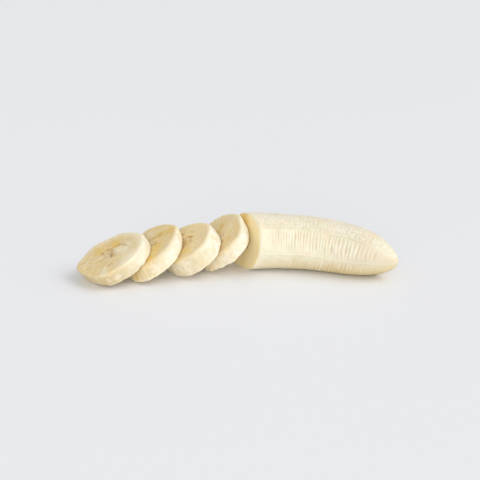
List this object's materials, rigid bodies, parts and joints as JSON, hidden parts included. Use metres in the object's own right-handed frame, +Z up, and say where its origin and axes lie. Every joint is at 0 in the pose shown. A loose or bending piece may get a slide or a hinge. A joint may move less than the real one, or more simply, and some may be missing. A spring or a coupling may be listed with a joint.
{
  "type": "peeled banana, partly sliced",
  "caption": "Peeled banana lying on its side: a bent uncut end with a tapered tip, and slices cut at a slant that lean one on the next in front of the cut.",
  "frame": {"origin": "on the surface that the row lies on, under the middle of its bounding box", "axes": "+X along the row towards the tip of the fruit, +Y to the back, away from the side that the fruit bends to, +Z up"},
  "size_m": [0.1818, 0.0604, 0.0321],
  "materials": {
    "flesh": "creamy banana flesh as the peel leaves it: soft satin, with blunt ridges along it and fine bands across it",
    "cut_flesh": "slices of banana: moist tan cut faces with a seed core of three lobes, and creamy walls"
  },
  "bodies": {
    "root": {"banana_body": "flesh", "slice_1": "cut_flesh", "slice_2": "cut_flesh", "slice_3": "cut_flesh", "slice_4": "cut_flesh"}
  },
  "joints": []
}
